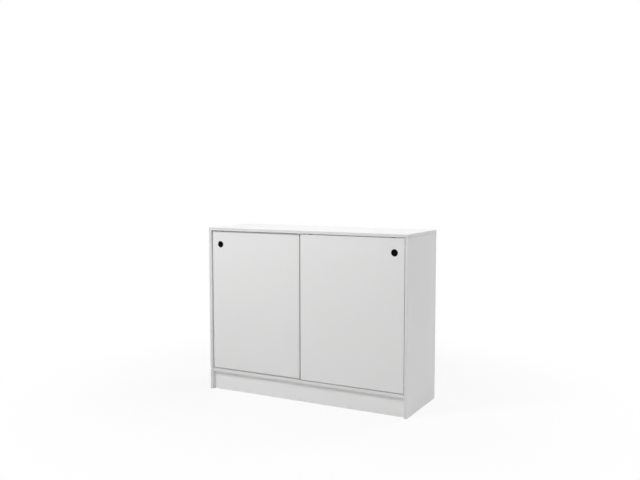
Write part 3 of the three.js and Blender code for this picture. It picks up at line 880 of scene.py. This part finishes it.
@dataclass
class Fittings:
    """Shelf pins, and the cams and bolts that hold the top down."""

    bench: Bench

    def dress(self) -> None:
        """Finishes the pins, cams and bolts."""
        for side in SIDES:
            for row in ROWS:
                self.bench.dress(Stock.CAM, f"{side}_top_cam_{row}")
                self.bench.dress(Stock.PIN, f"{side}_top_bolt_{row}")
                self.bench.dress(Stock.PIN, *(f"{side}_shelf_pin_{row}_{place}" for place in PLACES))


@dataclass
class FingerPull:
    """One round black dish, let into its door: filleted floor, rolled lip and a thin flange."""

    bench: Bench
    side: str
    mouth: float = 13.5 * MM
    draft: float = 0.5 * MM
    fillet: float = 3.5 * MM
    lip: float = 1.4 * MM
    rim: float = 0.6 * MM
    floor: float = 1.2 * MM
    body: float = 15.2 * MM
    flange: float = 0.7 * MM
    steps: int = 128
    floor_chords: int = 10
    lip_chords: int = 8
    rim_chords: int = 5

    def build(self) -> None:
        """Turns the dish and puts it in place of the frame's plainer one."""
        node = f"{self.side}_finger_pull"
        low, high, middle = self.bench.box(node)
        outer = (high.x - low.x) / 2
        back = high.y - low.y
        inside = back - self.floor
        wall = self.mouth - self.draft
        profile = [(0.0, inside)]
        hollow = (wall - self.fillet, inside - self.fillet)
        profile += quarter(hollow, self.fillet, 90, 0, self.floor_chords)
        profile += quarter((self.mouth + self.lip, self.lip), self.lip, 180, 270, self.lip_chords)
        profile += quarter((outer - self.rim, self.rim), self.rim, -90, 0, self.rim_chords)
        profile += [(outer, self.flange), (self.body, self.flange), (self.body, back), (0.0, back)]
        work = self.bench.turned(profile, self.steps)
        bmesh.ops.translate(work, verts=work.verts, vec=(middle.x, low.y, middle.z))
        piece = self.bench.finish(f"{self.side}_pull_dish", work, Stock.PULL,
                                  f"{self.side}_door", "finger_pull")
        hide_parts(node)


@dataclass
class EdgeStrip:
    """The soft strip on a door's meeting edge: a rounded nose, a thin lip over each face, and a tongue."""

    bench: Bench
    side: str
    seat: float = 0.3 * MM
    tongue: float = 0.6 * MM
    lip_reach: float = 1.5 * MM
    lip_gap: float = 0.05 * MM
    lip_thickness: float = 0.25 * MM
    lip_taper: float = 0.35 * MM
    nose: float = 1.5 * MM
    nose_chords: int = 8

    def build(self) -> None:
        """Extrudes the strip and puts it in place of the frame's plainer one."""
        node = f"{self.side}_door_edge_strip"
        low, high, middle = self.bench.box(node)
        board_low, board_high, board = self.bench.box(f"{self.side}_door_panel")
        outward = 1 if middle.x > board.x else -1
        edge = (board_high if outward > 0 else board_low).x
        tip = (high if outward > 0 else low).x
        root = (low if outward > 0 else high).x
        half = (board_high.y - board_low.y) / 2
        outline = self.section(outward * (tip - edge), outward * (root - edge), half)
        work = bmesh.new()
        verts = [work.verts.new((edge + outward * out, board.y + across, low.z)) for out, across in outline]
        section = work.faces.new(verts)
        risen = bmesh.ops.extrude_face_region(work, geom=[section], use_keep_orig=True)["geom"]
        moved = [item for item in risen if isinstance(item, BMVert)]
        bmesh.ops.translate(work, verts=moved, vec=Axis.Z.value * (high.z - low.z))
        bmesh.ops.recalc_face_normals(work, faces=work.faces)
        piece = self.bench.finish(f"{self.side}_meeting_strip", work, Stock.STRIP,
                                  f"{self.side}_door", "edge_strip")
        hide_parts(node)

    def section(self, tip: float, root: float, half: float) -> list[tuple[float, float]]:
        """The outline of the strip across the door.

        Args:
            tip: How far the nose reaches from the board's edge.
            root: Where the tongue ends, behind that edge.
            half: Half the board's thickness.

        Returns:
            Distance from the board's edge and from its middle plane, for each point of the closed outline.
        """
        under = half + self.lip_gap
        skin = under + self.lip_thickness
        upper = [(root, self.tongue), (self.seat, self.tongue), (self.seat, under), (-self.lip_reach, under),
                 (self.lip_taper - self.lip_reach, skin)]
        upper += quarter((tip - self.nose, skin - self.nose), self.nose, 90, 0, self.nose_chords)
        return upper + [(out, -across) for out, across in reversed(upper)]


@dataclass
class RollerWheel:
    """One nylon wheel: a plain tread, a thin web and a hub."""

    bench: Bench
    side: str
    place: str
    chamfer: float = 0.4 * MM
    rim: float = 1.6 * MM
    hub: float = 2.8 * MM
    bore: float = 1.3 * MM
    web_inset: float = 0.4 * MM
    steps: int = 72
    chamfer_chords: int = 4

    def build(self) -> None:
        """Turns the wheel and puts it in place of the frame's plainer one."""
        node = f"{self.side}_{self.place}_roller_wheel"
        low, high, middle = self.bench.box(node)
        radius = (high.z - low.z) / 2
        face = (high.y - low.y) / 2
        web = face - self.web_inset
        rim = radius - self.rim
        half = [(self.bore, face), (self.hub, face), (self.hub + self.web_inset, web),
                (rim - self.web_inset, web), (rim, face), (radius - self.chamfer, face)]
        half += quarter((radius - self.chamfer, face - self.chamfer), self.chamfer, 90, 0,
                        self.chamfer_chords)[1:]
        lower = [(reach, -along) for reach, along in reversed(half)]
        work = self.bench.turned([*half, *lower, half[0]], self.steps)
        bmesh.ops.translate(work, verts=work.verts, vec=middle)
        piece = self.bench.finish(f"{self.side}_{self.place}_wheel_tread", work, Stock.ROLLER,
                                  f"{self.side}_{self.place}_wheel", "wheel_nylon")
        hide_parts(node)


@dataclass
class CrossScrew:
    """A raised countersunk screw head with a cross recess, drawn at the origin and facing the front."""

    crown: float = 1.55 * MM
    radius: float = 2.1 * MM
    dome: float = 0.3 * MM
    proud: float = 0.5 * MM
    cone: float = 0.9 * MM
    sink: float = 1.2 * MM
    recess_length: float = 1.15 * MM
    recess_width: float = 0.34 * MM
    recess_depth: float = 0.42 * MM
    steps: int = 28

    def add(self, work: BMesh, place: Vector, facing: Facing, turn: float) -> None:
        """Adds one head to a mesh.

        Args:
            work: The mesh that takes it.
            place: The point of the surface under the middle of the head.
            facing: The way the head faces.
            turn: Turn of the cross about the screw's own axis, in radians.
        """
        head = bmesh.new()
        bmesh.ops.create_circle(head, cap_ends=True, cap_tris=False, segments=self.steps, radius=self.crown)
        self.cut_cross(head)
        skirt = ((self.radius, self.dome), (self.radius, self.proud - self.dome), (self.cone, self.sink))
        for radius, drop in skirt:
            self.pull_rim(head, radius, drop)
        bmesh.ops.holes_fill(head, edges=[edge for edge in head.edges if edge.is_boundary], sides=0)
        bmesh.ops.recalc_face_normals(head, faces=head.faces)
        upright = Matrix.Translation((0, -self.proud, 0)) @ Matrix.Rotation(math.pi / 2, 4, "X")
        placed = Matrix.Translation(place) @ facing.value @ upright @ Matrix.Rotation(turn, 4, "Z")
        bmesh.ops.transform(head, matrix=placed, verts=head.verts)
        scrap = bpy.data.meshes.new("screw_scrap")
        head.to_mesh(scrap)
        head.free()
        work.from_mesh(scrap)
        bpy.data.meshes.remove(scrap)

    def pull_rim(self, head: BMesh, radius: float, drop: float) -> None:
        """Draws the open rim of the head out or in, and down.

        Args:
            head: The head's mesh.
            radius: The rim's new radius.
            drop: How far it goes down.
        """
        rim = [edge for edge in head.edges if edge.is_boundary]
        drawn = bmesh.ops.extrude_edge_only(head, edges=rim)["geom"]
        verts = [item for item in drawn if isinstance(item, BMVert)]
        share = radius / max(math.hypot(vert.co.x, vert.co.y) for vert in verts)
        bmesh.ops.scale(head, verts=verts, vec=(share, share, 1.0))
        bmesh.ops.translate(head, verts=verts, vec=Axis.Z.value * -drop)

    def cut_cross(self, head: BMesh) -> None:
        """Cuts the cross recess into the flat of the head.

        Args:
            head: The head's mesh, still a flat disc.
        """
        for sign in (-1, 1):
            for normal in (Axis.X.value, Axis.Y.value):
                whole = [*head.verts, *head.edges, *head.faces]
                bmesh.ops.bisect_plane(head, geom=whole, plane_co=normal * sign * self.recess_width,
                                       plane_no=normal)
        for sign in (-1, 1):
            for normal, across in ((Axis.X.value, Axis.Y.value), (Axis.Y.value, Axis.X.value)):
                near = [face for face in head.faces
                        if abs(face.calc_center_median().dot(across)) < self.recess_width]
                whole = list({item for face in near for item in (face, *face.verts, *face.edges)})
                bmesh.ops.bisect_plane(head, geom=whole, plane_co=normal * sign * self.recess_length,
                                       plane_no=normal)
        cross = [face for face in head.faces if self.in_cross(face.calc_center_median())]
        floor = bmesh.ops.extrude_face_region(head, geom=cross)["geom"]
        bmesh.ops.delete(head, geom=cross, context="FACES_ONLY")
        sunk = [item for item in floor if isinstance(item, BMVert)]
        bmesh.ops.translate(head, verts=sunk, vec=Axis.Z.value * -self.recess_depth)

    def in_cross(self, point: Vector) -> bool:
        """Whether a point of the flat lies in the cross."""
        along, across = sorted((abs(point.x), abs(point.y)), reverse=True)
        return along < self.recess_length and across < self.recess_width


@dataclass
class RunningGear:
    """The casings, guides and axles of one door, with the screws that hold them and the two wheels."""

    bench: Bench
    side: str
    chance: random.Random
    screw: CrossScrew = field(default_factory=CrossScrew)
    casing_spread: float = 11.5 * MM
    casing_rise: float = 14.5 * MM
    guide_spread: float = 9.5 * MM
    guide_drop: float = 9 * MM

    def build(self) -> None:
        """Models the wheels and the screws of this door."""
        for place in PLACES:
            RollerWheel(self.bench, self.side, place).build()
        door_top = self.bench.box(f"{self.side}_door_panel").high.z
        work = bmesh.new()
        for place in PLACES:
            low, high, middle = self.bench.box(f"{self.side}_{place}_roller_casing")
            self.pair(work, Vector((middle.x, high.y, low.z + self.casing_rise)), self.casing_spread)
            _, high, middle = self.bench.box(f"{self.side}_{place}_top_guide")
            self.pair(work, Vector((middle.x, high.y, door_top - self.guide_drop)), self.guide_spread)
        self.bench.finish(f"{self.side}_door_screws", work, Stock.PIN, f"{self.side}_door", "steel")

    def pair(self, work: BMesh, middle: Vector, spread: float) -> None:
        """Adds two heads, one at each side of a point of the door's rear.

        Args:
            work: The mesh that takes them.
            middle: The point.
            spread: How far each head is from it.
        """
        for sign in (-1, 1):
            place = middle + Axis.X.value * sign * spread
            self.screw.add(work, place, Facing.REAR, self.chance.uniform(0.0, math.pi / 2))

    def dress(self) -> None:
        """Finishes the casings, guides and axles."""
        for place in PLACES:
            name = f"{self.side}_{place}"
            self.bench.dress(Stock.ROLLER, f"{name}_roller_casing", f"{name}_roller_wheel")
            self.bench.dress(Stock.GUIDE, f"{name}_top_guide")
            self.bench.dress(Stock.PIN, f"{name}_roller_axle")


@dataclass
class SlidingDoor:
    """One door: its board, its soft edge strip, its pull and its running gear."""

    bench: Bench
    side: str
    gear: RunningGear

    def build(self) -> None:
        """Models the pull, the meeting strip and the running gear."""
        FingerPull(self.bench, self.side).build()
        EdgeStrip(self.bench, self.side).build()
        self.gear.build()

    def dress(self) -> None:
        """Finishes the board, the strip and the running gear."""
        palette = self.bench.palette
        panel = f"{self.side}_door_panel"
        pull = self.bench.box(f"{self.side}_finger_pull").middle
        round_edges = (Edge.LEFT, Edge.RIGHT, Edge.FOOT, Edge.HEAD)
        handled = Wear(hands_at=(pull.x, pull.z))
        # The door's edges take the grey band that paints shade into the gaps round it.
        self.bench.dress(palette.board(panel, round_edges, (), handled, band=palette.door_band), panel)
        self.bench.dress(Stock.STRIP, f"{self.side}_door_edge_strip")
        self.bench.dress(Stock.PULL, f"{self.side}_finger_pull")
        self.gear.dress()


@dataclass
class Tracks:
    """The two grooved tracks, the stop of the rear door and the screws between the grooves."""

    bench: Bench
    chance: random.Random
    screw: CrossScrew = field(default_factory=CrossScrew)
    pitch: float = 200 * MM
    count: int = 6

    def level(self, name: str) -> float:
        """The height at which a track's grooves open."""
        low, high, _ = self.bench.box(name)
        return high.z if TRACKS[name] is Facing.UP else low.z

    def build(self) -> None:
        """Sets a row of screws in the web of each track."""
        for name, facing in TRACKS.items():
            middle = self.bench.box(name).middle
            work = bmesh.new()
            for step in range(self.count):
                across = (step - (self.count - 1) / 2) * self.pitch
                place = Vector((middle.x + across, middle.y, self.level(name)))
                self.screw.add(work, place, facing, self.chance.uniform(0.0, math.pi / 2))
            self.bench.finish(f"{name}_screws", work, Stock.PIN, "carcass", "steel")

    def dress(self) -> None:
        """Finishes the tracks and the stop."""
        grooves = tuple(self.bench.box(f"{side}_outer_roller_wheel").middle.y for side in SIDES)
        for name in TRACKS:
            self.bench.dress(self.bench.palette.track(name, grooves, self.level(name)), name)
        self.bench.dress(Stock.GUIDE, "rear_door_stop")


@dataclass(frozen=True)
class Lamp:
    """One soft box: where it hangs, what it points at, its sides and its power in watts.

    Gloss shows the even white surround and no lamp, so the top doesn't burn out from any side.
    """

    name: str
    place: Triple
    target: Triple
    sides: tuple[float, float]
    power: float

    def hang(self) -> None:
        """Makes the lamp and turns it to its target."""
        data = bpy.data.lights.new(self.name, "AREA")
        data.shape = "RECTANGLE"
        data.size, data.size_y = self.sides
        data.energy = self.power
        lamp = bpy.data.objects.new(self.name, data)
        lamp.location = self.place
        aim = Vector(self.target) - Vector(self.place)
        lamp.rotation_euler = aim.to_track_quat("-Z", "Y").to_euler()
        lamp.visible_camera = False
        lamp.visible_glossy = False
        bpy.context.scene.collection.objects.link(lamp)


@dataclass
class Studio:
    """Camera, pale floor, white surround and soft lamps."""

    camera_place: Triple = (1.93853, -3.65187, 1.19001)
    camera_tilt: float = 4.54
    camera_turn: float = 27.96
    lens: float = 42.26
    sensor: float = 36.0
    floor_side: float = 60.0
    floor_cells: int = 12
    floor_tone: Tone = Tone(0.86, 0.86, 0.86)
    floor_roughness: float = 0.9
    shadow_share: float = 0.17
    shadow_near: float = 0.75
    shadow_far: float = 1.9
    surround: float = 0.09
    lamps: tuple[Lamp, ...] = (
        Lamp("key_box", (-1.7, -2.9, 3.1), (0.0, -0.2, 0.3), (1.0, 1.0), 72.0),
        Lamp("near_strip", (0.0, -1.5, 2.3), (0.0, -0.5, 0.0), (2.2, 0.7), 12.0),
        Lamp("front_fill", (3.2, -3.8, 2.2), (0.0, -0.2, 0.5), (2.2, 2.2), 16.0),
        Lamp("side_box", (3.6, 0.2, 2.6), (0.6, 0.0, 0.5), (2.0, 2.0), 22.0),
        Lamp("top_box", (0.0, 0.8, 2.7), (0.0, 0.1, 0.9), (2.2, 0.8), 17.0),
        Lamp("rear_fill", (2.2, 4.0, 2.6), (0.0, 0.2, 0.4), (2.4, 2.0), 90.0),
    )

    def build(self) -> None:
        """Sets up the whole studio."""
        self.place_camera()
        self.lay_floor()
        self.light_world()
        for lamp in self.lamps:
            lamp.hang()
        bpy.context.scene.view_settings.view_transform = "Standard"

    def place_camera(self) -> None:
        """Makes the camera at the photograph's place."""
        data = bpy.data.cameras.new("studio_camera")
        data.lens = self.lens
        data.sensor_width = self.sensor
        camera = bpy.data.objects.new("studio_camera", data)
        camera.location = self.camera_place
        tilt, turn = math.radians(90 - self.camera_tilt), math.radians(self.camera_turn)
        camera.rotation_euler = Euler((tilt, 0.0, turn))
        bpy.context.scene.collection.objects.link(camera)
        bpy.context.scene.camera = camera

    def lay_floor(self) -> None:
        """Lays the pale floor, white to the eye but for the object's own shadow."""
        work = bmesh.new()
        bmesh.ops.create_grid(work, x_segments=self.floor_cells, y_segments=self.floor_cells,
                              size=self.floor_side / 2)
        mesh = bpy.data.meshes.new("studio_floor")
        work.to_mesh(mesh)
        work.free()
        floor = bpy.data.objects.new("studio_floor", mesh)
        bpy.context.scene.collection.objects.link(floor)
        mesh.materials.append(self.floor_finish())

    def floor_finish(self) -> Material:
        """Matt pale paint that shows white away from the object.

        Returns:
            The material.
        """
        graph = SurfaceGraph("pale_floor")
        seen = graph.seen_rays()
        paint = graph.blend(seen, self.floor_tone.rgba(), WHITE)
        graph.dress(Base_Color=paint, Roughness=self.floor_roughness)
        glow = graph.node("ShaderNodeEmission", {}, WHITE, 1.0)
        reach = graph.value("ShaderNodeVectorMath", {"operation": "LENGTH"}, graph.place)
        near = 1.0 - reach.fade(self.shadow_near, self.shadow_far)
        share = seen * (1.0 - near * self.shadow_share)
        mixed = graph.node("ShaderNodeMixShader", {}, share, graph.shader.outputs[0], glow.outputs[0])
        graph.feed(graph.output.inputs["Surface"], mixed.outputs[0])
        return graph.material

    def light_world(self) -> None:
        """A surround that is white to the eye and gives an even soft light."""
        world = bpy.data.worlds.new("studio_surround")
        bpy.context.scene.world = world
        world.use_nodes = True
        graph = Graph(world.node_tree)
        shell = graph.node("ShaderNodeBackground", {}, WHITE, self.surround)
        seen = graph.node("ShaderNodeBackground", {}, WHITE, 1.0)
        mixed = graph.node("ShaderNodeMixShader", {}, graph.seen_rays(), shell.outputs[0], seen.outputs[0])
        graph.node("ShaderNodeOutputWorld", {}, mixed.outputs[0])


def main() -> None:
    """Builds the studio, then models and dresses the cabinet in order."""
    logging.basicConfig(level=logging.INFO, format="%(name)s: %(message)s")
    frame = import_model()
    Studio().build()
    bench = Bench(frame, Palette())
    chance = random.Random(CHANCE_SEED)
    Carcass(bench).dress()
    Fittings(bench).dress()
    tracks = Tracks(bench, chance)
    tracks.build()
    tracks.dress()
    for side in SIDES:
        door = SlidingDoor(bench, side, RunningGear(bench, side, chance))
        door.build()
        door.dress()


if __name__ == "__main__":
    main()
